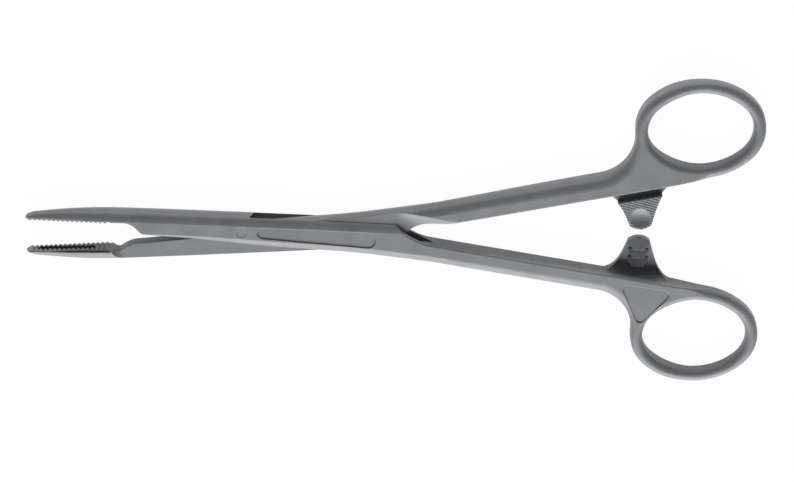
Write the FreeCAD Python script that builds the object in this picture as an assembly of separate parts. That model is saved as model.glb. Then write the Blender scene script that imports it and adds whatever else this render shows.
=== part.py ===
import FreeCAD, Part
import os
from math import asin, atan2, cos, degrees, radians, sin, sqrt, tan

from FreeCAD import Vector

# Sponge forceps, moulded in two crossing halves that turn on a box lock.
# Millimetres and degrees. X runs from the jaws to the finger rings, Z is the depth of the
# forceps, and the axis of the lock is the Z axis. Z = 0 is the flat back that it lies on.
# Each half is drawn with the forceps shut, its jaw above the X axis and its ring below it,
# with Z = 0 in the middle of the depth. It is then turned open, and one half is mirrored.

# Pose
half_open = 3.3

# Depths
body_depth = 7.8
ring_depth = 6.2
web_depth = 4.4
web_play = 0.1

# Shank
shank_width = 7.1
shank_lean = 7.3
shank_from = 46.0
shank_side_flat = 0.1
crease_round = 0.4

# Finger ring
hole_long = 35.4
hole_short = 26.7
hole_side_radius = 10.8
ring_band = 4.1
ring_side_flat = 0.1
ring_x = 130.6
ring_y = -30.6
ring_tilt = 2.2
web_bend = 14.0
taper_from = 118.0
taper_to = 132.0
touch_round = 1.6

# Box
box_height = 6.1
box_end_touch = 39.3
box_end_bend = 21.0
slot_corner_round = 0.6
slot_gap = 0.4
slot_end_x = 40.5
slot_end_lean = 23.7
slot_point_from = 35.0
slot_point_to = 39.6

# Web of the inner half
web_heel_rise = 0.4
web_heel_x = -60.5
web_mid_rise = 1.0
web_mid_x = -46.0
web_top_x = -17.5
ramp_foot_x = -66.9
ramp_foot_drop = 0.45
hollow_to = 38.3
hollow_lean = 8.3
hollow_bend = 11.5
heel_cove_x = -67.1
heel_cove_bend = 3.2
heel_cove_lean = 20.0
shoulder_gap = 0.8
shoulder_lead = 1.2
shoulder_end = 0.0704
shoulder_step = 3.1
shoulder_widths = (3.5, 6.2, 8.7, 10.7)
shoulder_lean = 19.0

# Pivot
pivot_radius = 2.5
pivot_height = 0.8
pivot_play = 0.05

# Jaw
nose_x = -98.4
nose_half_depth = 2.2
nose_run = 2.3
nose_rise = 1.8
nose_reach = 2.5
heel_x = -65.2
jaw_height = 5.2
tooth_pitch = 1.58
tooth_height = 0.5
tooth_count = 17
tooth_crest = 0.3
first_tooth_x = -71.3
crest_at_nose = -0.05
face_lean = 1.95
face_heel = 1.5
tooth_ledge = 0.3
groove_width = 2.2
groove_depth = 0.9
groove_from = 3
groove_to = 15
field_half_heel = 3.35
field_half_nose = 1.75
step_bend = 6.0
step_lean = 43.0
step_depth = 4.6

# Ratchet
ratchet_x = 109.3
ratchet_reach = 3.6
ratchet_end_width = 7.3
ratchet_end_bulge = 1.4
ratchet_base_half = 13.0
ratchet_depth = 2.1
ratchet_crest_gap = 0.2
ledge_first = 4.2
ledge_pitch = 3.05
ledge_count = 3
tooth_wide = 6.6
tooth_narrow = 3.6
tooth_chamfer = 1.8
ramp_start = 0.45
cove_radius = 2.4
base_sink = 0.6
pad_groove_width = 2.9
pad_groove_depth = 2.5
pad_sink = 0.15
neck_depth = 2.6
neck_overlap = 0.9
dimple_width = 7.0
dimple_depth = 1.0
dimple_y = -0.6

# Recessed panels and ejector marks
recess_depth = 0.3
panel_left_x = -18.0
panel_left_y = 0.25
panel_left_radius = 1.95
panel_right_x = 17.3
panel_right_y = -0.38
panel_right_radius = 2.85
corner_panel_x = (103.6, 122.3, 111.2)
corner_panel_in = (2.3, 2.1, 17.0)
corner_panel_round = 1.7
ejector_width = 3.7
ejector_depth = 0.08
ejector_x = (-25.2, 122.9)

# Worked out from the sizes above
half_depth = body_depth / 2
half_web = web_depth / 2
half_slot = half_web + web_play
shank_round = (body_depth - shank_side_flat) / 2
ring_round = (ring_band - ring_side_flat) / 2
far = 60.0
join_tolerance = 0.05


def along(angle):
    """Unit vector in the plan at an angle from X."""
    return Vector(cos(radians(angle)), sin(radians(angle)), 0)


def arc(centre, radius, start, end):
    """Arc in the plan from one angle to another."""
    middle = (start + end) / 2
    points = [centre + along(angle) * radius for angle in (start, middle, end)]
    return Part.Arc(*points).toShape()


def chain(points):
    """Straight edges through plan points, given as pairs."""
    corners = [Vector(x, y, 0) for x, y in points]
    return [Part.makeLine(a, b) for a, b in zip(corners, corners[1:])]


def closed(edges):
    """Wire of the edges, closed by a straight one."""
    first = edges[0].Vertexes[0].Point
    last = edges[-1].Vertexes[-1].Point
    if first.distanceToPoint(last) > 1e-6:
        edges = edges + [Part.makeLine(last, first)]
    return Part.Wire(edges)


def prism(wires, low, high):
    """Solid between two heights over a plan outline, less any holes that follow it."""
    face = Part.Face(wires)
    face.translate(Vector(0, 0, low))
    return face.extrude(Vector(0, 0, high - low))


def curve(points):
    """Bezier curve in the plan with the given pairs as poles."""
    bezier = Part.BezierCurve()
    bezier.setPoles([Vector(x, y, 0) for x, y in points])
    return bezier.toShape()


def flip_z(shape):
    """Copy mirrored front to back."""
    return shape.mirror(Vector(0, 0, 0), Vector(0, 0, 1))


# Lines that both halves share

shank_down = along(-shank_lean)
shank_out = along(-90 - shank_lean)
side_reach = hole_long / 2 - hole_side_radius
side_rise = hole_short / 2 - hole_side_radius
flat_reach = (side_reach ** 2 - side_rise ** 2) / (2 * side_rise)
hole_flat_radius = hole_short / 2 + flat_reach
flat_turn = degrees(atan2(side_reach, flat_reach))


def ring_point(u, v):
    """Plan point given along and across the ring."""
    across = along(ring_tilt)
    up = along(ring_tilt + 90)
    return Vector(ring_x, ring_y, 0) + across * u + up * v


ring_left = ring_point(-side_reach, 0)
ring_right = ring_point(side_reach, 0)
ring_upper = ring_point(0, -flat_reach)
ring_lower = ring_point(0, flat_reach)
shank_touch = ring_upper - shank_out * (hole_flat_radius + ring_band)


def inner_line(x):
    """Height of the inner side of the shank at x."""
    return shank_touch.y + (shank_touch.x - x) * tan(radians(shank_lean))


shank_in = Vector(shank_from, inner_line(shank_from), 0)
shank_outer = shank_in + shank_out * shank_width


def face_line(x):
    """Height of the flat of the jaw, between its teeth, at x."""
    last_tooth_x = first_tooth_x - (tooth_count - 1) * tooth_pitch
    return crest_at_nose + tooth_height + tan(radians(face_lean)) * (x - last_tooth_x)


# Grip side, from the nose of the jaw to the neck of the shank

def section(x, top, bottom, half, top_round, bottom_round, lean=0.0):
    """Outline across the body, leaning with the shank when asked, corners rounded."""
    height = top - bottom
    foot = Vector(x, bottom, 0)
    rise = along(90 - lean)

    def at(up, z):
        return foot + rise * up + Vector(0, 0, z)

    def corner(up, z, radius, start):
        points = []
        for turn in (0, 45, 90):
            a = radians(start + turn)
            points.append(at(up + radius * sin(a), z + radius * cos(a)))
        return Part.Arc(*points).toShape()

    arcs = [
        corner(height - top_round, half - top_round, top_round, 0),
        corner(height - top_round, top_round - half, top_round, 90),
        corner(bottom_round, bottom_round - half, bottom_round, 180),
        corner(bottom_round, half - bottom_round, bottom_round, 270),
    ]
    edges = []
    for now, following in zip(arcs, arcs[1:] + arcs[:1]):
        edges.append(now)
        edges.append(Part.makeLine(now.Vertexes[-1].Point, following.Vertexes[0].Point))
    return Part.Wire(edges)


def grip_body():
    """Loft of the jaw, the box and the neck, still without its inner face."""
    spare = 0.04
    half = half_depth + spare
    full = shank_round + spare
    nose = nose_half_depth
    sections = [
        section(nose_x, 1.9, -1.5, nose, nose - 0.05, 0.4),
        section(nose_x + 14.4, 4.0, -1.7, nose + 0.8, nose + 0.75, 0.4),
        section(heel_x - 2, jaw_height, -2.1, half, full, 0.5),
        section(-56, jaw_height + 0.25, -2.75, half, full, 0.9),
        section(-42, jaw_height + 0.45, -3.5, half, full, 2.0),
        section(-30, box_height - 0.3, -4.35, half, full, 2.7),
        section(-18, box_height - 0.15, -5.2, half, full, 3.3),
        section(-6, box_height - 0.05, -5.8, half, full, 3.7),
        section(8, box_height, -6.15, half, full, full),
        section(22, box_height, -6.93, half, full, full),
        section(34, box_height, -7.9, half, full, full),
        section(shank_outer.x, box_height, shank_outer.y, half, full, full, shank_lean),
    ]
    body = Part.makeLoft(sections, True, False)
    slab = Part.makeBox(4 * far, 2 * far, body_depth, Vector(-2 * far, -far, -half_depth))
    return body.common(slab).Solids[0]


# Ring side

def oval(grow):
    """Outline of the ring's hole, grown outwards: four arcs."""
    turn = ring_tilt
    wide = hole_flat_radius + grow
    tight = hole_side_radius + grow
    return Part.Wire([
        arc(ring_upper, wide, 90 + turn + flat_turn, 90 + turn - flat_turn),
        arc(ring_right, tight, 90 + turn - flat_turn, flat_turn - 90 + turn),
        arc(ring_lower, wide, flat_turn - 90 + turn, -90 + turn - flat_turn),
        arc(ring_left, tight, -90 + turn - flat_turn, flat_turn - 270 + turn),
    ])


def web_bend_centre():
    """Centre of the hollow bend between the shank and the ring, touching both."""
    reach = web_bend + hole_side_radius + ring_band
    base = shank_outer + shank_out * web_bend
    away = base - ring_left
    back = away.dot(shank_down)
    rest = away.dot(away) - reach ** 2
    return base - shank_down * (back + sqrt(back ** 2 - rest))


bend_centre = web_bend_centre()
bend_start = bend_centre - shank_out * web_bend
bend_turn = ring_left - bend_centre
bend_end_angle = degrees(atan2(bend_turn.y, bend_turn.x))


def ring_outline():
    """Plan of the shank, its web and the outside of the ring."""
    turn = ring_tilt
    wide = hole_flat_radius + ring_band
    tight = hole_side_radius + ring_band
    return Part.Wire([
        Part.makeLine(shank_in, shank_outer),
        Part.makeLine(shank_outer, bend_start),
        arc(bend_centre, web_bend, 90 - shank_lean, bend_end_angle),
        arc(ring_left, tight, bend_end_angle + 180, 270 + turn - flat_turn),
        arc(ring_lower, wide, 270 + turn - flat_turn, 270 + turn + flat_turn),
        arc(ring_right, tight, flat_turn - 90 + turn, 90 + turn - flat_turn),
        arc(ring_upper, wide, 90 + turn - flat_turn, 90 - shank_lean),
        Part.makeLine(shank_touch, shank_in),
    ])


def side_profile():
    """Slab that thins from the depth of the body to the depth of the ring."""
    thick = half_depth
    thin = ring_depth / 2
    third = (taper_to - taper_from) / 3
    upper = curve([(taper_from, thick), (taper_from + third, thick), (taper_to - third, thin), (taper_to, thin)])
    lower = curve([(taper_to, -thin), (taper_to - third, -thin), (taper_from + third, -thick), (taper_from, -thick)])
    edges = chain([(-far, -thick), (-far, thick), (taper_from, thick)]) + [upper]
    edges += chain([(taper_to, thin), (4 * far, thin), (4 * far, -thin), (taper_to, -thin)]) + [lower]
    slab = prism([closed(edges)], -2 * far, 2 * far)
    slab.rotate(Vector(0, 0, 0), Vector(1, 0, 0), 90)
    return slab


def edge_radius(point, on_hole, on_inner):
    """Rounding of the front and back edges at a point of the ring side."""
    if on_hole:
        return ring_round
    if on_inner or point.distanceToPoint(Vector(shank_touch.x, shank_touch.y, point.z)) < 0.01:
        share = (point.x - taper_from) / (shank_touch.x - taper_from)
        return crease_round + (touch_round - crease_round) * min(1.0, max(0.0, share))
    spoke = point - bend_centre
    spoke.z = 0
    if abs(spoke.Length - web_bend) < 1e-3:
        start = 90 - shank_lean
        share = (start - degrees(atan2(spoke.y, spoke.x))) / (start - bend_end_angle)
        return shank_round + (ring_round - shank_round) * min(1.0, max(0.0, share))
    if point.x < bend_start.x and point.y > ring_y / 2:
        return shank_round
    return ring_round


def rounding(body):
    """List of edge numbers of the ring side with the radius at each end."""
    hole = oval(0)
    chosen = []
    for number, edge in enumerate(body.Edges, 1):
        ends = [vertex.Point for vertex in edge.Vertexes]
        if len(ends) < 2:
            continue
        middle = edge.valueAt((edge.FirstParameter + edge.LastParameter) / 2)
        if min(abs(point.z) for point in ends + [middle]) < ring_depth / 2 - 0.01:
            continue
        crosswise = abs(ends[0].x - ends[1].x) < 1e-6
        in_start = max(point.x for point in ends) < shank_from + 1
        if crosswise or in_start:
            continue
        flat = Vector(middle.x, middle.y, 0)
        on_hole = hole.distToShape(Part.Vertex(flat))[0] < 1e-3
        off_line = abs((flat - shank_touch).dot(shank_out))
        on_inner = off_line < 1e-3 and middle.x < shank_touch.x
        radii = [edge_radius(point, on_hole, on_inner) for point in ends]
        chosen.append((number, radii[0], radii[1]))
    return chosen


def ring_side():
    """Shank, web and finger ring with their rounded edges."""
    document = FreeCAD.newDocument("ring")
    plate = prism([ring_outline(), oval(0)], -far, far)
    body = plate.common(side_profile()).Solids[0]
    source = document.addObject("Part::Feature", "ring_blank")
    source.Shape = body
    rounded = document.addObject("Part::Fillet", "ring_rounded")
    rounded.Base = source
    rounded.Edges = rounding(body)
    document.recompute()
    return rounded.Shape.Solids[0]


# Shared blank

def box_end_centre():
    """Centre of the hollow end of the box, an arc that touches the inner side of the shank."""
    return Vector(box_end_touch, inner_line(box_end_touch), 0) - shank_out * box_end_bend


def box_end_x(height):
    """Where the hollow end of the box stands at a height."""
    centre = box_end_centre()
    return centre.x - sqrt(box_end_bend ** 2 - (centre.y - height) ** 2)


def box_end():
    """Hollow end of the box, from the inner side of the shank leftwards and up."""
    return [arc(box_end_centre(), box_end_bend, 270 - shank_lean, 180)]


def web_hollow():
    """Hollow in the inner side of the inner half where it comes out of the box, from the right."""
    lean = shank_lean - hollow_lean
    reach = (shank_from - hollow_to) / cos(radians(lean))
    touch = shank_in - along(-lean) * reach
    into = shank_in - shank_down * (reach / 3)
    out_of = touch + along(-lean) * (reach / 3)
    centre = touch - along(-90 - lean) * hollow_bend
    soft = curve([(point.x, point.y) for point in (shank_in, into, out_of, touch)])
    return [soft, arc(centre, hollow_bend, 270 - lean, 180)]


def inner_cutter(end):
    """What is cut away above the shank and past the given end of the box or web."""
    start = end[0].Vertexes[0].Point
    left = end[-1].Vertexes[-1].Point
    right = 2 * far
    edges = chain([(right, inner_line(right)), (start.x, start.y)]) + end
    edges += chain([(left.x, left.y), (left.x, far), (right, far)])
    return prism([closed(edges)], -far, far)


def tooth_line():
    """Corners of the toothed face of the jaw, from the heel to the nose."""
    half_crest = tooth_crest / 2
    corners = []
    for index in range(tooth_count):
        x = first_tooth_x - index * tooth_pitch
        foot = x + tooth_pitch / 2
        crest = face_line(x) - tooth_height
        corners += [(foot, face_line(foot)), (x + half_crest, crest), (x - half_crest, crest)]
    last = corners[-1][0] - tooth_pitch / 2
    past = nose_x - 5
    return corners + [(last, face_line(last)), (past, face_line(past))]


def jaw_cutter(foot):
    """What is cut away below the jaw: the toothed face, then the edges of the foot."""
    start = foot[0].Vertexes[0].Point
    end = foot[-1].Vertexes[-1].Point
    corners = [(start.x, start.y)] + tooth_line() + [(nose_x - 5, -far), (end.x, -far)]
    teeth = chain(corners)
    low = teeth[-1].Vertexes[-1].Point
    return prism([Part.Wire(teeth + [Part.makeLine(low, end)] + foot[::-1])], -far, far)


def step_foot():
    """Hollow step below the heel of the outer half."""
    centre = Vector(heel_x, face_heel - step_bend, 0)
    bend = arc(centre, step_bend, 90, 90 - step_lean)
    top = bend.Vertexes[-1].Point
    run = top + along(-step_lean) * step_depth
    return [bend, Part.makeLine(top, run)]


def web_edge(gap):
    """Inner edge of the web of the inner half from its heel to the box, moved out by a gap."""
    turn_x = (web_mid_x + web_top_x) / 2
    heel = (web_heel_x, -web_heel_rise - gap)
    middle = (web_mid_x - gap, -web_mid_rise - gap)
    high = (web_top_x - gap, -box_height - 2)
    poles = [middle, (turn_x - 3.0 - gap, middle[1] - 0.3), (turn_x + 7.0 - gap, -2.6 - gap), high]
    return chain([heel, middle]) + [curve(poles)]


def web_foot():
    """Ramp up from the heel of the inner half, then the inner edge of its web."""
    flat = (ramp_foot_x - 1.5, face_heel)
    step = (flat[0] + 0.1, flat[1] + ramp_foot_drop / 2)
    foot = (ramp_foot_x, face_heel + ramp_foot_drop)
    heel = (web_heel_x, -web_heel_rise)
    ramp = curve([foot, (foot[0] + 1.6, foot[1] - 0.6), (heel[0] - 3.1, heel[1]), heel])
    return chain([flat, step, foot]) + [ramp] + web_edge(0)


def under_face(corners, depth):
    """Cutter below the flat of the jaw, sunk into it by a depth, over corners given in X and Z."""
    block = prism([closed(chain(corners))], 0, far)
    block.rotate(Vector(0, 0, 0), Vector(1, 0, 0), 90)
    block.rotate(Vector(0, 0, 0), Vector(0, 0, 1), face_lean)
    block.translate(Vector(0, face_line(0) + depth, 0))
    return block


def tooth_groove():
    """Groove along the middle of the jaw, pointed towards the nose."""
    back = first_tooth_x - (groove_from - 0.5) * tooth_pitch
    front = first_tooth_x - (groove_to - 0.5) * tooth_pitch
    half = groove_width / 2
    corners = [(back, half), (back, -half), (front + half, -half), (front - half, 0), (front + half, half)]
    return under_face(corners, groove_depth)


def tooth_ends():
    """Cutters that end the teeth short of the front and back of the jaw."""
    heel = first_tooth_x + tooth_pitch
    nose = nose_x - 1
    corners = [(heel, field_half_heel), (nose, field_half_nose), (nose, far), (heel, far)]
    front = under_face(corners, tooth_ledge)
    return [front, flip_z(front)]


def nose_cutter():
    """What is cut away round the blunt end of the jaw."""
    centre = Vector(nose_x + nose_run, face_line(nose_x) - 0.3, 0)
    stretch = FreeCAD.Matrix()
    stretch.scale(nose_run, nose_rise, nose_reach)
    stretch.move(centre)
    ball = Part.makeSphere(1.0).transformGeometry(stretch)
    block = Part.makeBox(2 * nose_run, far, far, Vector(centre.x - 2 * nose_run, -far / 2, -far / 2))
    return block.cut(ball)


def largest(shape):
    """Largest solid of a shape."""
    return max(shape.Solids, key=lambda solid: solid.Volume)


def creased(grip):
    """Grip with the front and back edges beside the shank lightly rounded."""
    sharp = []
    for edge in grip.Edges:
        box = edge.BoundBox
        on_face = abs(abs(box.ZMin) - half_depth) < 1e-6 and box.ZLength < 1e-6
        inner = box.YMin < box_height - 0.5 and box.XMax > box_end_touch - 10
        middle = edge.valueAt((edge.FirstParameter + edge.LastParameter) / 2)
        near_cut = middle.y > inner_line(middle.x) - 2
        crosswise = box.XLength < 1
        if on_face and inner and near_cut and middle.x > 20 and not crosswise:
            sharp.append(edge)
    return grip.makeFillet(crease_round, sharp)


def blank(end, foot):
    """One half with its jaw and ring, before it is cut for the lock."""
    grip = creased(largest(grip_body().cut(inner_cutter(end))))
    whole = grip.fuse([ring_side()], join_tolerance).removeSplitter()
    cuts = [jaw_cutter(foot), nose_cutter(), tooth_groove()] + tooth_ends()
    for cutter in cuts:
        whole = largest(whole.cut(cutter))
    return whole


# Box lock

def pivot(play):
    """Round bosses on both sides of the web, or their sockets when given play."""
    reach = half_web + pivot_height + play
    return Part.makeCylinder(pivot_radius + play, 2 * reach, Vector(0, 0, -reach))


def slot_point_side():
    """What stays solid on the front side of the slot's pointed end."""
    corners = [(slot_point_from, half_slot), (slot_point_to, 0), (far, 0), (far, half_slot + 1)]
    block = prism([closed(chain(corners + [(slot_point_from, half_slot + 1)]))], -far, far)
    block.rotate(Vector(0, 0, 0), Vector(1, 0, 0), 90)
    return block


def slot_cutter():
    """Slot through the box and channel behind the jaw, for the web of the other half."""
    roof = [edge.mirror(Vector(0, 0, 0), Vector(0, 1, 0)) for edge in web_edge(slot_gap)]
    heel = roof[0].Vertexes[0].Point
    high = roof[-1].Vertexes[-1].Point
    run = far / tan(radians(slot_end_lean))
    mouth = (slot_end_x, inner_line(slot_end_x))
    upper = (mouth[0] + run / 2, mouth[1] + far / 2)
    lower = (mouth[0] - run / 2, mouth[1] - far / 2)
    edges = chain([(heel_x, heel.y), (heel.x, heel.y)]) + roof
    edges += chain([(high.x, high.y), (high.x, upper[1]), upper, lower, (heel_x, lower[1])])
    slot = prism([closed(edges)], -half_slot, half_slot)
    for side in (slot_point_side(), flip_z(slot_point_side())):
        slot = slot.cut(side)
    ends = []
    for edge in slot.Edges:
        middle = edge.valueAt((edge.FirstParameter + edge.LastParameter) / 2)
        on_roof = middle.x > web_mid_x - 2 and middle.x < web_top_x and middle.y > 0
        if abs(abs(middle.z) - half_slot) < 1e-6 and on_roof and edge.Length > 5:
            ends.append(edge)
    return slot.makeFillet(slot_corner_round, ends)


def tapered_slot(left, left_radius, right, right_radius):
    """Outline round two circles of different size."""
    reach = right - left
    turn = degrees(atan2(reach.y, reach.x))
    spread = 90 + degrees(asin((right_radius - left_radius) / reach.Length))
    left_arc = arc(left, left_radius, turn + spread, turn + 360 - spread)
    right_arc = arc(right, right_radius, turn - spread, turn + spread)
    return Part.Wire([left_arc, Part.makeLine(left_arc.Vertexes[-1].Point, right_arc.Vertexes[0].Point),
                      right_arc, Part.makeLine(right_arc.Vertexes[-1].Point, left_arc.Vertexes[0].Point)])


def panel_cutter():
    """Long recessed panel on the front of the box."""
    left = Vector(panel_left_x, panel_left_y, 0)
    right = Vector(panel_right_x, panel_right_y, 0)
    outline = tapered_slot(left, panel_left_radius, right, panel_right_radius)
    return prism([outline], half_depth - recess_depth, far)


def inside_shank(x, depth):
    """Plan point at x, a distance outwards from the inner side of the shank, as a pair."""
    return (x, inner_line(x) - depth)


def corner_panel_cutter():
    """Three-cornered recessed panel on the web of the ring."""
    corners = [inside_shank(x, depth) for x, depth in zip(corner_panel_x, corner_panel_in)]
    block = prism([closed(chain(corners))], half_depth - recess_depth, far)
    upright = [edge for edge in block.Edges if edge.BoundBox.ZLength > 1]
    return block.makeFillet(corner_panel_round, upright)


def ejector_marks():
    """Round marks that the ejector pins leave on the front."""
    box_x, web_x = ejector_x
    places = [(box_x, panel_left_y), inside_shank(web_x, ejector_width)]
    return [Part.makeCylinder(ejector_width / 2, far, Vector(x, y, half_depth - ejector_depth)) for x, y in places]


# Web of the inner half

def shoulder_cutter():
    """Hollow blend from the thin web up to the full depth of the shank, past the end of the box."""
    drop = half_depth - half_web
    lean = along(-shoulder_lean)
    rings = []
    last = box_end_bend - box_end_centre().y - shoulder_end
    low = last - (len(shoulder_widths) - 1) * shoulder_step
    for index, width in enumerate(shoulder_widths):
        y = low + index * shoulder_step
        foot = Vector(box_end_x(-y) + shoulder_gap, y, half_web)
        ridge = foot + lean * width + Vector(0, 0, drop)
        radius = (width ** 2 + drop ** 2) / (2 * drop)
        turn = asin(width / radius) / 2
        middle = foot + lean * (radius * sin(turn)) + Vector(0, 0, radius * (1 - cos(turn)))
        back = foot - lean * shoulder_lead
        high = ridge + Vector(0, 0, drop)
        rear = Vector(back.x, back.y, high.z)
        edges = [Part.makeLine(back, foot), Part.Arc(foot, middle, ridge).toShape()]
        edges += [Part.makeLine(ridge, high), Part.makeLine(high, rear), Part.makeLine(rear, back)]
        rings.append(Part.Wire(edges))
    return Part.makeLoft(rings, True, False)


def heel_cove_cutter():
    """Hollow that runs from the front of the jaw's heel down to the web, slanting across the jaw."""
    top = half_web + heel_cove_bend
    half_turn = heel_cove_bend * sqrt(0.5)
    low = Vector(heel_cove_x, 0, half_web)
    middle = Vector(heel_cove_x - half_turn, 0, top - half_turn)
    left = Vector(heel_cove_x - heel_cove_bend, 0, top)
    edges = [Part.Arc(low, middle, left).toShape(), Part.makeLine(left, Vector(low.x, 0, top))]
    edges.append(Part.makeLine(Vector(low.x, 0, top), low))
    face = Part.Face(Part.Wire(edges))
    run = along(90 - heel_cove_lean) * far
    face.translate(-run)
    return face.extrude(run * 2)


def pocket_cutter():
    """Flat recess on the front of the web, from the heel of the jaw to the shoulder."""
    slant = far * tan(radians(heel_cove_lean))
    limit = box_end_centre()
    limit = Vector(limit.x + shoulder_gap - shoulder_lead / 2, -limit.y, 0)
    end = arc(limit, box_end_bend, 180, 90 + shank_lean)
    high = end.Vertexes[-1].Point
    low = end.Vertexes[0].Point
    corners = [(heel_cove_x + slant, far), (heel_cove_x - slant, -far), (low.x, -far), (low.x, low.y)]
    edges = chain(corners) + [end] + chain([(high.x, high.y), (high.x, far)])
    return prism([closed(edges)], half_web, far)


# Ratchet

def off_shank(distance):
    """Shift square to the inner side of the shank."""
    return shank_out * -distance


def strip(start, end, low, high):
    """Slab beside the inner side of the shank, between two distances from it."""
    x = ratchet_x - 2 * ratchet_base_half
    left = Vector(x, inner_line(x), 0)
    right = left + shank_down * (4 * ratchet_base_half)
    corners = [left + off_shank(start), right + off_shank(start), right + off_shank(end), left + off_shank(end)]
    return prism([Part.makePolygon(corners + corners[:1])], low, high)


def plate_plan():
    """Outline of a ratchet plate, flared where it grows out of the shank."""
    half_end = ratchet_end_width / 2
    shoulder = ratchet_reach - ratchet_end_bulge
    sides = []
    for side in (-1, 1):
        base_x = ratchet_x + side * ratchet_base_half
        root = Vector(base_x, inner_line(base_x), 0) + shank_out * base_sink
        lead = root + shank_down * (-side * ratchet_base_half * 0.43)
        waist = (ratchet_x + side * (half_end + 2.2), shoulder - 7.0)
        poles = [(root.x, root.y), (lead.x, lead.y + 0.9), waist, (ratchet_x + side * half_end, shoulder)]
        sides.append(curve(poles if side < 0 else poles[::-1]))
    ends = [sides[0].Vertexes[-1].Point, Vector(ratchet_x, ratchet_reach, 0), sides[1].Vertexes[0].Point]
    return closed([sides[0], Part.Arc(*ends).toShape(), sides[1]])


def ratchet_tooth(index):
    """One raised tooth: a ramp that rises towards the shank and drops at a steep ledge."""
    root = -half_depth + ratchet_depth
    crest = -ratchet_crest_gap / 2
    ledge = ratchet_reach - ledge_first - index * ledge_pitch
    rise = ledge_first - 0.2 if index == 0 else ledge_pitch
    top = ledge + rise
    wide = tooth_wide / 2
    narrow = tooth_narrow / 2
    bevel = ledge + tooth_chamfer
    plan = closed(chain([(wide, top), (-wide, top), (-wide, bevel), (-narrow, ledge), (narrow, ledge), (wide, bevel)]))
    column = prism([plan], root - 0.2, crest)
    wedge = Part.makePolygon([Vector(-wide, y, z) for y, z in (
        (top, root - 0.2), (top, root + ramp_start), (ledge, crest), (ledge, root - 0.2), (top, root - 0.2))])
    wedge = Part.Face(wedge).extrude(Vector(tooth_wide, 0, 0))
    tooth = column.common(wedge)
    tooth.translate(Vector(ratchet_x, 0, 0))
    return tooth


def ratchet_teeth():
    """All the teeth of one plate, kept inside its outline."""
    plan = prism([plate_plan()], -half_depth, half_depth)
    return [ratchet_tooth(index).common(plan) for index in range(ledge_count)]


def base_cove(floor):
    """Hollow fillet between the front of the lower plate and the inner side of the shank."""
    x = ratchet_x - 2 * ratchet_base_half
    corner = Vector(x, inner_line(x), floor)
    up = Vector(0, 0, cove_radius)
    out = off_shank(cove_radius)
    sunk = corner + off_shank(-base_sink)
    middle = corner + (up + out) * (1 - sqrt(0.5))
    edges = [Part.makeLine(corner + out, sunk), Part.makeLine(sunk, sunk + up), Part.makeLine(sunk + up, corner + up)]
    edges.append(Part.Arc(corner + up, middle, corner + out).toShape())
    return Part.Face(Part.Wire(edges)).extrude(shank_down * (4 * ratchet_base_half))


def outer_ratchet():
    """Plate in the back half of the depth, with its teeth to the front and a cove at its base."""
    floor = ratchet_depth - half_depth
    plate = prism([plate_plan()], -half_depth, floor)
    cove = prism([plate_plan()], floor, half_depth).common(base_cove(floor))
    return [plate, cove] + ratchet_teeth()


def inner_ratchet():
    """Plate in the front half of the depth, held by a neck under a deep groove."""
    plan = prism([plate_plan()], -half_depth, half_depth)
    floor = half_depth - pad_groove_depth
    under = floor - neck_depth
    edge = pad_groove_width + neck_overlap
    top = half_depth - pad_sink
    pad = plan.common(strip(pad_groove_width, 2 * far, half_depth - ratchet_depth, top))
    neck = plan.common(strip(-base_sink, edge, under, floor))
    wall = plan.common(strip(pad_groove_width, edge, under, top))
    return [pad, neck, wall] + [flip_z(tooth) for tooth in ratchet_teeth()]


def dimple():
    """Ball that hollows the thumb pad."""
    radius = ((dimple_width / 2) ** 2 + dimple_depth ** 2) / (2 * dimple_depth)
    centre = Vector(ratchet_x, dimple_y, half_depth - pad_sink - dimple_depth + radius)
    return Part.makeSphere(radius, centre, Vector(1, 0, 0))


# The two mouldings

def outer_half():
    """Half with the box, the upper jaw and the lower ring."""
    body = blank(box_end(), step_foot())
    body = body.multiFuse(outer_ratchet())
    cuts = [slot_cutter(), pivot(pivot_play), panel_cutter(), corner_panel_cutter()] + ejector_marks()
    return largest(body.cut(cuts))


def inner_half():
    """Half that passes through the box, drawn like the other one and mirrored at the end."""
    body = blank(web_hollow(), web_foot())
    cuts = []
    for cutter in (pocket_cutter(), heel_cove_cutter(), shoulder_cutter()):
        cuts += [cutter, flip_z(cutter)]
    body = largest(body.cut(cuts))
    body = body.multiFuse(inner_ratchet() + [pivot(0)])
    return largest(body.cut(dimple())).mirror(Vector(0, 0, 0), Vector(0, 1, 0))


def placed(shape, turn):
    """Shape turned about the axis and lifted to lie on Z = 0."""
    shape = shape.copy()
    shape.rotate(Vector(0, 0, 0), Vector(0, 0, 1), turn)
    shape.translate(Vector(0, 0, half_depth))
    return shape


halves = {"outer_half": placed(outer_half(), -half_open), "inner_half": placed(inner_half(), half_open)}
os.makedirs("parts", exist_ok=True)
for name, half in halves.items():
    print(name, half.isValid(), len(half.Solids), round(half.Volume, 2), len(half.Faces))
    half.exportStep("parts/" + name + ".step")
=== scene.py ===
"""Sponge forceps in grey moulded plastic: materials, pad ribs, studio and camera.

All lengths are metres unless a name ends in _mm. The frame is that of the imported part: X runs from
the jaws to the finger rings, Y to the upper ring, Z out of the front, and Z = 0 is the floor.
"""

from __future__ import annotations

import logging
from dataclasses import dataclass, replace
from enum import Enum
from math import cos, radians, sin
from typing import Any

import bpy
from mathutils import Matrix, Vector


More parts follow.
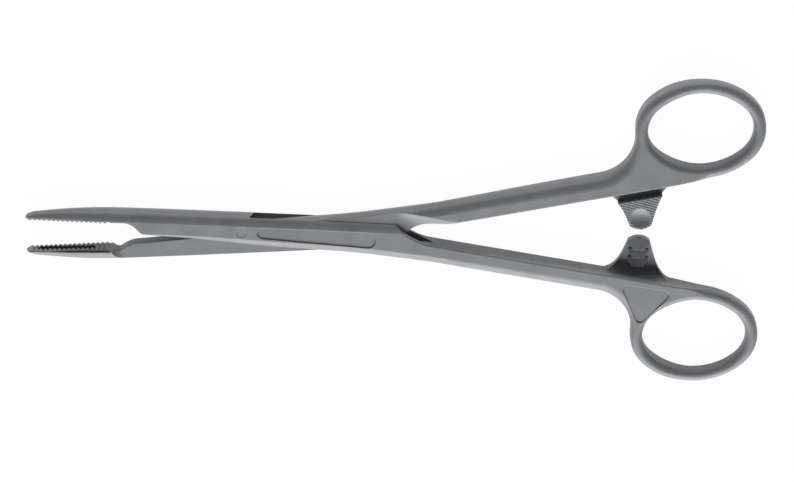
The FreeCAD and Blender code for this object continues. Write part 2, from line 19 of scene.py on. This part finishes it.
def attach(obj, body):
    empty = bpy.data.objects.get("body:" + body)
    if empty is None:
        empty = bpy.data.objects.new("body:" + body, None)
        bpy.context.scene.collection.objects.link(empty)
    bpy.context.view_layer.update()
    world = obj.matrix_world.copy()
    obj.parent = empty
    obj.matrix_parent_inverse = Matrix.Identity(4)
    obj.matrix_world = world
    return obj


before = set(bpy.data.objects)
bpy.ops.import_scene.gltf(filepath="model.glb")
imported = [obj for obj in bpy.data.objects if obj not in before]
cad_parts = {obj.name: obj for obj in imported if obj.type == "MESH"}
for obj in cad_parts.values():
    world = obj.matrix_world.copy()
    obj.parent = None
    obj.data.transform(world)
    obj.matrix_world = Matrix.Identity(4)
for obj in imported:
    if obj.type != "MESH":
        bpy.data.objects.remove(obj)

LOG = logging.getLogger("forceps")
MM = 0.001
IMAGE_WIDTH = 794
IMAGE_HEIGHT = 482
WHITE = "ffffff"
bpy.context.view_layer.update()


def linear(hex_colour: str) -> tuple[float, float, float, float]:
    """Turn an sRGB hex colour into the linear one that shaders take.

    Args:
        hex_colour: Six hex digits, such as "8a8b8e".

    Returns:
        Red, green, blue and an alpha of 1.
    """
    channels = []
    for start in (0, 2, 4):
        value = int(hex_colour[start:start + 2], 16) / 255
        channels.append(value / 12.92 if value <= 0.04045 else ((value + 0.055) / 1.055) ** 2.4)
    return (channels[0], channels[1], channels[2], 1.0)


def add_node(
    tree: bpy.types.NodeTree,
    kind: str,
    settings: dict[str, Any] | None = None,
    inputs: dict[str | int, Any] | None = None,
) -> bpy.types.Node:
    """Add a node, set its properties, and fill or link its inputs.

    Args:
        tree: The node tree that gets the node.
        kind: The node's type name.
        settings: Properties of the node by name.
        inputs: Values or output sockets by the name or number of the input.

    Returns:
        The new node.
    """
    node = tree.nodes.new(kind)
    for name, value in (settings or {}).items():
        setattr(node, name, value)
    for key, value in (inputs or {}).items():
        if isinstance(value, bpy.types.NodeSocket):
            tree.links.new(value, node.inputs[key])
        else:
            node.inputs[key].default_value = value
    return node


def calculate(
    tree: bpy.types.NodeTree,
    operation: str,
    first: Any,
    second: Any = 0.0,
) -> bpy.types.NodeSocket:
    """Add a math node.

    Args:
        tree: The node tree that gets the node.
        operation: The node's operation.
        first: Its first value or socket.
        second: Its second value or socket, where the operation has one.

    Returns:
        The result's socket.
    """
    return add_node(tree, "ShaderNodeMath", {"operation": operation}, {0: first, 1: second}).outputs[0]


def empty_tree(owner: bpy.types.Material | bpy.types.World) -> bpy.types.NodeTree:
    """Give a material or a world an empty node tree.

    Args:
        owner: The material or world.

    Returns:
        The empty tree.
    """
    owner.use_nodes = True
    owner.node_tree.nodes.clear()
    return owner.node_tree


@dataclass(frozen=True)
class SparkTexturedNylon:
    """Glass-filled nylon moulded in a spark-eroded steel tool.

    Spark erosion leaves a fine even grain, so the faces look dry and satin with no sharp reflections.
    The melt leaves broad cloudy flow marks. Every edge has a small radius that catches a thin light
    line, and a painted highlight makes it a shade paler. Painted shade darkens the corners and grooves.
    """

    name: str = "spark_textured_nylon"
    colour: str = "85878a"
    pale_flow: str = "8b8d91"
    dark_flow: str = "7f8185"
    # Painted highlight colour for the edges.
    painted_edge_highlight: str = "b2b4b7"
    # Painted shade colour for the corners and grooves.
    painted_corner_shade: str = "26282b"
    roughness: float = 0.46
    roughness_spread: float = 0.05
    specular: float = 0.42
    refraction: float = 1.53
    grain_mm: float = 0.55
    grain_depth_mm: float = 0.02
    grain_detail: float = 2.0
    grain_roughness: float = 0.6
    waviness_mm: float = 3.2
    waviness_depth_mm: float = 0.01
    waviness_detail: float = 1.0
    flow_mm: float = 9.0
    flow_detail: float = 3.0
    flow_roughness: float = 0.55
    noise_band: tuple[float, float] = (0.3, 0.7)
    edge_radius_mm: float = 0.26
    edge_turn: float = 0.12
    # How far the painted edge highlight goes toward its pale colour.
    edge_highlight_share: float = 0.4
    edge_samples: int = 6
    corner_samples: int = 8
    corner_reach_mm: float = 1.7
    corner_open: float = 0.92
    corner_shut: float = 0.25
    # How far the painted corner shade goes toward its dark colour.
    corner_shade_share: float = 0.8

    def flow_colour(self, tree: bpy.types.NodeTree, place: bpy.types.NodeSocket) -> bpy.types.NodeSocket:
        """Add the cloudy flow marks.

        Args:
            tree: The material's node tree.
            place: Object coordinates.

        Returns:
            A colour between the two flow tints.
        """
        flow = add_node(tree, "ShaderNodeTexNoise", inputs={
            "Vector": place, "Scale": 1 / (self.flow_mm * MM),
            "Detail": self.flow_detail, "Roughness": self.flow_roughness})
        tint = add_node(tree, "ShaderNodeValToRGB", inputs={"Fac": flow.outputs["Fac"]})
        ends = zip(tint.color_ramp.elements, self.noise_band, (self.dark_flow, self.pale_flow))
        for end, position, colour in ends:
            end.position = position
            end.color = linear(colour)
        tint.color_ramp.elements.new(sum(self.noise_band) / 2).color = linear(self.colour)
        return tint.outputs["Color"]

    def with_painted_highlight_and_shade(
        self,
        tree: bpy.types.NodeTree,
        colour: bpy.types.NodeSocket,
        rounded: bpy.types.NodeSocket,
    ) -> bpy.types.NodeSocket:
        """Paint a paler highlight on the edges and paint shade into the corners.

        Args:
            tree: The material's node tree.
            colour: The colour of the open faces.
            rounded: The normal with small edge radii.

        Returns:
            The colour with both.
        """
        flat = add_node(tree, "ShaderNodeNewGeometry").outputs["Normal"]
        facing = add_node(tree, "ShaderNodeVectorMath", {"operation": "DOT_PRODUCT"}, {
            0: rounded, 1: flat})
        edge = add_node(tree, "ShaderNodeMapRange", inputs={
            "Value": facing.outputs["Value"], "From Min": 1.0, "From Max": 1.0 - self.edge_turn,
            "To Min": 0.0, "To Max": self.edge_highlight_share})
        # Painted highlight: the rounded edges are mixed toward a pale grey, whatever the lamps do.
        highlighted = add_node(tree, "ShaderNodeMix", {"data_type": "RGBA"}, {
            "Factor": edge.outputs["Result"], "A": colour, "B": linear(self.painted_edge_highlight)})
        # Painted shade: the corners and grooves that ambient occlusion finds closed are mixed toward
        # near-black.
        openness = add_node(tree, "ShaderNodeAmbientOcclusion", {
            "samples": self.corner_samples, "only_local": True}, {"Distance": self.corner_reach_mm * MM})
        corner_shade_mask = add_node(tree, "ShaderNodeMapRange", inputs={
            "Value": openness.outputs["AO"], "From Min": self.corner_open,
            "From Max": self.corner_shut, "To Min": 0.0, "To Max": self.corner_shade_share})
        shaded = add_node(tree, "ShaderNodeMix", {"data_type": "RGBA"}, {
            "Factor": corner_shade_mask.outputs["Result"], "A": highlighted.outputs["Result"],
            "B": linear(self.painted_corner_shade)})
        return shaded.outputs["Result"]

    def build(self) -> bpy.types.Material:
        """Make the material.

        Returns:
            A material with grain and waviness as bump, and flow, a painted edge highlight and painted corner
            shade as colour.
        """
        material = bpy.data.materials.new(self.name)
        tree = empty_tree(material)
        place = add_node(tree, "ShaderNodeTexCoord").outputs["Object"]
        rounded = add_node(tree, "ShaderNodeBevel", {"samples": self.edge_samples}, {
            "Radius": self.edge_radius_mm * MM}).outputs["Normal"]
        colour = self.with_painted_highlight_and_shade(tree, self.flow_colour(tree, place), rounded)
        wave = add_node(tree, "ShaderNodeTexNoise", inputs={
            "Vector": place, "Scale": 1 / (self.waviness_mm * MM), "Detail": self.waviness_detail})
        sunk = add_node(tree, "ShaderNodeBump", inputs={
            "Height": wave.outputs["Fac"], "Distance": self.waviness_depth_mm * MM,
            "Normal": rounded})
        grain = add_node(tree, "ShaderNodeTexNoise", inputs={
            "Vector": place, "Scale": 1 / (self.grain_mm * MM),
            "Detail": self.grain_detail, "Roughness": self.grain_roughness})
        bump = add_node(tree, "ShaderNodeBump", inputs={
            "Height": grain.outputs["Fac"], "Distance": self.grain_depth_mm * MM,
            "Normal": sunk.outputs["Normal"]})
        dry = add_node(tree, "ShaderNodeMapRange", inputs={
            "Value": grain.outputs["Fac"],
            "From Min": self.noise_band[0], "From Max": self.noise_band[1],
            "To Min": self.roughness - self.roughness_spread,
            "To Max": self.roughness + self.roughness_spread})
        shader = add_node(tree, "ShaderNodeBsdfPrincipled", inputs={
            "Base Color": colour, "Roughness": dry.outputs["Result"], "Normal": bump.outputs["Normal"],
            "Specular IOR Level": self.specular, "IOR": self.refraction})
        add_node(tree, "ShaderNodeOutputMaterial", inputs={"Surface": shader.outputs["BSDF"]})
        return material


class Side(Enum):
    """The two mouldings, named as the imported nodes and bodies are."""

    OUTER = "outer_half"
    INNER = "inner_half"


@dataclass
class Mouldings:
    """The two crossing halves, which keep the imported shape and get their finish."""

    finish: bpy.types.Material

    def dress(self) -> None:
        """Give both halves the moulded finish."""
        for side in Side:
            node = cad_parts[side.value]
            node.data.materials.clear()
            node.data.materials.append(self.finish)
            LOG.info("dressed %s", side.value)


@dataclass
class ThumbPadRibs:
    """Fine slanting ribs moulded on the face of the upper ratchet plate, round its dimple.

    Rows of points start a little above the pad and drop on it. What lands on its flat face becomes
    a rib, so that the ribs end at the dimple, at the groove and at the plate's edges.
    """

    finish: bpy.types.Material
    centre: tuple[float, float] = (109.6 * MM, 6.5 * MM)
    face_height: float = 7.65 * MM
    face_slack: float = 0.015 * MM
    count: int = 27
    pitch: float = 0.88 * MM
    length: float = 26.0 * MM
    step: float = 0.18 * MM
    slant: float = -16.0
    width: float = 0.44 * MM
    height: float = 0.13 * MM
    sides: int = 10
    start_above: float = 4.0 * MM

    def inputs(self) -> dict[str, tuple[str, Any]]:
        """List the tree's named inputs.

        Returns:
            The socket type and the value of each input by its name.
        """
        x, y = self.centre
        return {
            "Carrier": ("NodeSocketObject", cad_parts[Side.INNER.value]),
            "Count": ("NodeSocketInt", self.count),
            "Pitch": ("NodeSocketFloat", self.pitch),
            "Points": ("NodeSocketInt", round(self.length / self.step) + 1),
            "Step": ("NodeSocketFloat", self.step),
            "Middle": ("NodeSocketVector", (x, y, self.face_height + self.start_above)),
            "Slant": ("NodeSocketFloat", radians(self.slant)),
            "Face height": ("NodeSocketFloat", self.face_height),
            "Face slack": ("NodeSocketFloat", self.face_slack),
            "Drop": ("NodeSocketFloat", 2 * self.start_above),
            "Sides": ("NodeSocketInt", self.sides),
            "Width": ("NodeSocketFloat", self.width),
            "Flatness": ("NodeSocketFloat", 2 * self.height / self.width),
            "Finish": ("NodeSocketMaterial", self.finish),
        }

    @staticmethod
    def centred_line(
        tree: bpy.types.NodeTree,
        count: bpy.types.NodeSocket,
        gap: bpy.types.NodeSocket,
        axis: str,
    ) -> bpy.types.NodeSocket:
        """Make a row of points along one axis, with its middle at the origin.

        Args:
            tree: The geometry tree.
            count: How many points the row has.
            gap: How far apart they are.
            axis: The axis, "X" or "Y".

        Returns:
            The row as mesh edges.
        """
        run = calculate(tree, "MULTIPLY", calculate(tree, "SUBTRACT", count, 1.0), gap)
        start = add_node(tree, "ShaderNodeCombineXYZ", inputs={axis: calculate(tree, "MULTIPLY", run, -0.5)})
        offset = add_node(tree, "ShaderNodeCombineXYZ", inputs={axis: gap})
        return add_node(tree, "GeometryNodeMeshLine", inputs={
            "Count": count, "Start Location": start.outputs[0], "Offset": offset.outputs[0]}).outputs["Mesh"]

    def plan_lines(self, tree: bpy.types.NodeTree, given: bpy.types.Node) -> bpy.types.NodeSocket:
        """Draw one straight row of points for each rib, slanted and above the pad.

        Args:
            tree: The geometry tree.
            given: The tree's input node.

        Returns:
            The rows as mesh edges.
        """
        size = given.outputs
        rows = add_node(tree, "GeometryNodeInstanceOnPoints", inputs={
            "Points": self.centred_line(tree, size["Count"], size["Pitch"], "Y"),
            "Instance": self.centred_line(tree, size["Points"], size["Step"], "X")})
        real = add_node(tree, "GeometryNodeRealizeInstances", inputs={
            "Geometry": rows.outputs["Instances"]})
        turn = add_node(tree, "ShaderNodeCombineXYZ", inputs={"Z": size["Slant"]})
        return add_node(tree, "GeometryNodeTransform", inputs={
            "Geometry": real.outputs["Geometry"], "Translation": size["Middle"],
            "Rotation": turn.outputs[0]}).outputs["Geometry"]

    def lay_down(
        self,
        tree: bpy.types.NodeTree,
        given: bpy.types.Node,
        lines: bpy.types.NodeSocket,
    ) -> bpy.types.NodeSocket:
        """Drop the rows on the carrier and keep only what lands on the pad's flat face.

        Args:
            tree: The geometry tree.
            given: The tree's input node.
            lines: The rows above the pad.

        Returns:
            The rows on the face.
        """
        carrier = add_node(tree, "GeometryNodeObjectInfo", {"transform_space": "RELATIVE"}, {
            "Object": given.outputs["Carrier"]})
        ray = add_node(tree, "GeometryNodeRaycast", inputs={
            "Target Geometry": carrier.outputs["Geometry"], "Ray Direction": (0, 0, -1),
            "Ray Length": given.outputs["Drop"]})
        landed = add_node(tree, "GeometryNodeSetPosition", inputs={
            "Geometry": lines, "Position": ray.outputs["Hit Position"]})
        place = add_node(tree, "GeometryNodeInputPosition")
        height = add_node(tree, "ShaderNodeSeparateXYZ", inputs={0: place.outputs[0]}).outputs["Z"]
        off = calculate(tree, "ABSOLUTE", calculate(tree, "SUBTRACT", height, given.outputs["Face height"]))
        missed = calculate(tree, "GREATER_THAN", off, given.outputs["Face slack"])
        return add_node(tree, "GeometryNodeDeleteGeometry", {"domain": "POINT"}, {
            "Geometry": landed.outputs["Geometry"], "Selection": missed}).outputs["Geometry"]

    def round_off(
        self,
        tree: bpy.types.NodeTree,
        given: bpy.types.Node,
        lines: bpy.types.NodeSocket,
    ) -> bpy.types.NodeSocket:
        """Give the rows a flattened round section, half of it sunk in the pad.

        Args:
            tree: The geometry tree.
            given: The tree's input node.
            lines: The rows on the face.

        Returns:
            The finished ribs.
        """
        paths = add_node(tree, "GeometryNodeMeshToCurve", inputs={"Mesh": lines})
        level = add_node(tree, "GeometryNodeSetCurveNormal", {"mode": "Z_UP"}, {
            "Curve": paths.outputs["Curve"]})
        ring = add_node(tree, "GeometryNodeCurvePrimitiveCircle", inputs={
            "Resolution": given.outputs["Sides"],
            "Radius": calculate(tree, "MULTIPLY", given.outputs["Width"], 0.5)})
        squash = add_node(tree, "ShaderNodeCombineXYZ", inputs={
            "X": 1.0, "Y": given.outputs["Flatness"], "Z": 1.0})
        section = add_node(tree, "GeometryNodeTransform", inputs={
            "Geometry": ring.outputs["Curve"], "Scale": squash.outputs[0]})
        bars = add_node(tree, "GeometryNodeCurveToMesh", inputs={
            "Curve": level.outputs["Curve"], "Profile Curve": section.outputs["Geometry"],
            "Fill Caps": True})
        real = add_node(tree, "GeometryNodeRealizeInstances", inputs={"Geometry": bars.outputs["Mesh"]})
        return add_node(tree, "GeometryNodeSetMaterial", inputs={
            "Geometry": real.outputs["Geometry"], "Material": given.outputs["Finish"]}).outputs["Geometry"]

    def tree(self) -> bpy.types.NodeTree:
        """Build the geometry tree.

        Returns:
            A tree with every size as a named input.
        """
        tree = bpy.data.node_groups.new("thumb_pad_ribs", "GeometryNodeTree")
        tree.interface.new_socket("Geometry", in_out="OUTPUT", socket_type="NodeSocketGeometry")
        for name, (kind, _) in self.inputs().items():
            tree.interface.new_socket(name, in_out="INPUT", socket_type=kind)
        given = add_node(tree, "NodeGroupInput")
        lines = self.lay_down(tree, given, self.plan_lines(tree, given))
        add_node(tree, "NodeGroupOutput", inputs={0: self.round_off(tree, given, lines)})
        return tree

    def build(self) -> bpy.types.Object:
        """Make the ribs as one plain mesh that moves with the inner half.

        Returns:
            The finished piece.
        """
        tree = self.tree()
        maker = bpy.data.objects.new("rib_maker", bpy.data.meshes.new("rib_maker"))
        bpy.context.scene.collection.objects.link(maker)
        modifier = maker.modifiers.new("ribs", "NODES")
        modifier.node_group = tree
        sockets = [item for item in tree.interface.items_tree if item.in_out == "INPUT"]
        identifiers = {socket.name: socket.identifier for socket in sockets}
        for name, (_, value) in self.inputs().items():
            modifier[identifiers[name]] = value
        evaluated = maker.evaluated_get(bpy.context.evaluated_depsgraph_get())
        mesh = bpy.data.meshes.new_from_object(evaluated)
        maker.modifiers.remove(modifier)
        bpy.data.objects.remove(maker)
        mesh.name = "thumb_pad_ribs"
        mesh.polygons.foreach_set("use_smooth", [True] * len(mesh.polygons))
        ribs = bpy.data.objects.new("thumb_pad_ribs", mesh)
        bpy.context.scene.collection.objects.link(ribs)
        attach(ribs, Side.INNER.value)
        LOG.info("thumb_pad_ribs: %d ribs drawn, %d faces", self.count, len(mesh.polygons))
        return ribs


@dataclass(frozen=True)
class Lamp:
    """A soft rectangular lamp that faces the object.

    The angle is from straight above the object, towards +Y, in degrees. Lengths are metres.
    """

    name: str
    angle: float
    away: float
    width: float
    height: float
    power: float

    def hang(self, middle: Vector) -> None:
        """Hang the lamp.

        Args:
            middle: The point that it faces.
        """
        data = bpy.data.lights.new(self.name, "AREA")
        data.shape = "RECTANGLE"
        data.size = self.width
        data.size_y = self.height
        data.energy = self.power
        lamp = bpy.data.objects.new(self.name, data)
        direction = Vector((0, sin(radians(self.angle)), cos(radians(self.angle))))
        lamp.location = middle + direction * self.away
        lamp.rotation_mode = "QUATERNION"
        lamp.rotation_quaternion = direction.to_track_quat("Z", "Y")
        bpy.context.scene.collection.objects.link(lamp)


@dataclass
class Studio:
    """White opal table, soft lamps and the camera of the photograph.

    Angles are degrees. The table shows white to the camera, to reflections and through glass, and a
    small share of it stays paper, which takes the object's shadow.
    """

    axis_height: float = 3.9 * MM
    distance: float = 1.29
    tilt: float = 25.0
    roll: float = -0.06
    metres_per_pixel: float = 0.338 * MM
    axis_pixel: tuple[float, float] = (316.5, 232.4)
    sensor_mm: float = 36.0
    clip_start: float = 0.05
    clip_end: float = 30.0
    floor_half: float = 6.0
    floor_colour: str = "fafafa"
    floor_glow: float = 0.96
    table_light: float = 0.35
    ambient: float = 0.03
    room: float = 0.35
    lamp_target_x: float = 30 * MM
    lamps: tuple[Lamp, ...] = (
        Lamp("lamp_near_side", angle=-60.0, away=1.3, width=1.76, height=1.1, power=35.0),
        Lamp("lamp_far_side", angle=86.0, away=1.5, width=1.44, height=0.2, power=9.5),
    )

    def camera_axes(self) -> tuple[Vector, Vector, Vector]:
        """Directions of the picture's right, its top and the way back to the camera.

        Returns:
            Three unit vectors.
        """
        back = Vector((0, sin(radians(self.tilt)), cos(radians(self.tilt))))
        level = Vector((1, 0, 0))
        rise = back.cross(level)
        turn = radians(self.roll)
        right = level * cos(turn) + rise * sin(turn)
        return right, back.cross(right), back

    def place_camera(self) -> None:
        """Make the camera so that the lock's axis falls where the photograph has it."""
        right, top, back = self.camera_axes()
        scale = self.metres_per_pixel
        across = (IMAGE_WIDTH / 2 - self.axis_pixel[0]) * scale
        down = (IMAGE_HEIGHT / 2 - self.axis_pixel[1]) * scale
        target = Vector((0, 0, self.axis_height)) + right * across - top * down
        data = bpy.data.cameras.new("camera")
        data.sensor_width = self.sensor_mm
        data.lens = self.sensor_mm * self.distance / (IMAGE_WIDTH * scale)
        data.clip_start = self.clip_start
        data.clip_end = self.clip_end
        camera = bpy.data.objects.new("camera", data)
        turn = Matrix((right, top, back)).transposed().to_4x4()
        camera.matrix_world = Matrix.Translation(target + back * self.distance) @ turn
        bpy.context.scene.collection.objects.link(camera)
        bpy.context.scene.camera = camera

    @staticmethod
    def seen_directly(tree: bpy.types.NodeTree) -> bpy.types.NodeSocket:
        """Tell rays of the camera, of reflections and of glass from those that only carry light.

        Args:
            tree: The node tree that gets the nodes.

        Returns:
            A socket that is 1 for those rays and 0 for the others.
        """
        path = add_node(tree, "ShaderNodeLightPath")
        direct = calculate(tree, "MAXIMUM", path.outputs["Is Camera Ray"], path.outputs["Is Glossy Ray"])
        return calculate(tree, "MAXIMUM", direct, path.outputs["Is Transmission Ray"])

    def light_world(self) -> None:
        """Set a grey room, which shows in reflections and sheds only a little light."""
        world = bpy.data.worlds.new("surroundings")
        bpy.context.scene.world = world
        tree = empty_tree(world)
        light, room = [
            add_node(tree, "ShaderNodeBackground", inputs={"Color": linear(WHITE), "Strength": strength})
            for strength in (self.ambient, self.room)]
        mix = add_node(tree, "ShaderNodeMixShader", inputs={
            0: self.seen_directly(tree), 1: light.outputs[0], 2: room.outputs[0]})
        add_node(tree, "ShaderNodeOutputWorld", inputs={"Surface": mix.outputs[0]})

    def lay_floor(self) -> None:
        """Lay the opal table top, which shows white, sheds some light and keeps part of the shadow."""
        half = self.floor_half
        mesh = bpy.data.meshes.new("floor")
        corners = [(-half, -half, 0), (half, -half, 0), (half, half, 0), (-half, half, 0)]
        mesh.from_pydata(corners, [], [(0, 1, 2, 3)])
        material = bpy.data.materials.new("white_table_top")
        tree = empty_tree(material)
        paper = add_node(tree, "ShaderNodeBsdfDiffuse", inputs={"Color": linear(self.floor_colour)})
        shed, shown = [
            add_node(tree, "ShaderNodeEmission", inputs={"Color": linear(WHITE), "Strength": strength})
            for strength in (self.table_light, 1.0)]
        opal = add_node(tree, "ShaderNodeAddShader", inputs={0: paper.outputs[0], 1: shed.outputs[0]})
        mix = add_node(tree, "ShaderNodeMixShader", inputs={
            0: calculate(tree, "MULTIPLY", self.seen_directly(tree), self.floor_glow),
            1: opal.outputs[0], 2: shown.outputs[0]})
        add_node(tree, "ShaderNodeOutputMaterial", inputs={"Surface": mix.outputs[0]})
        mesh.materials.append(material)
        floor = bpy.data.objects.new("floor", mesh)
        bpy.context.scene.collection.objects.link(floor)

    def build(self) -> None:
        """Set up the whole studio."""
        bpy.context.scene.view_settings.view_transform = "Standard"
        self.light_world()
        self.lay_floor()
        for lamp in self.lamps:
            lamp.hang(Vector((self.lamp_target_x, 0, 0)))
        self.place_camera()
        LOG.info("studio with %d lamps", len(self.lamps))


def main() -> None:
    """Build every sub-assembly in order and report each one."""
    logging.basicConfig(level=logging.INFO, format="%(name)s %(message)s")
    Studio().build()
    nylon = SparkTexturedNylon()
    # The fine copy for the ribs has no painted edge highlight but keeps the painted corner shade.
    fine = replace(nylon, name="spark_textured_nylon_fine", edge_radius_mm=0.04, edge_highlight_share=0.0)
    Mouldings(nylon.build()).dress()
    ThumbPadRibs(fine.build()).build()


if __name__ == "__main__":
    main()
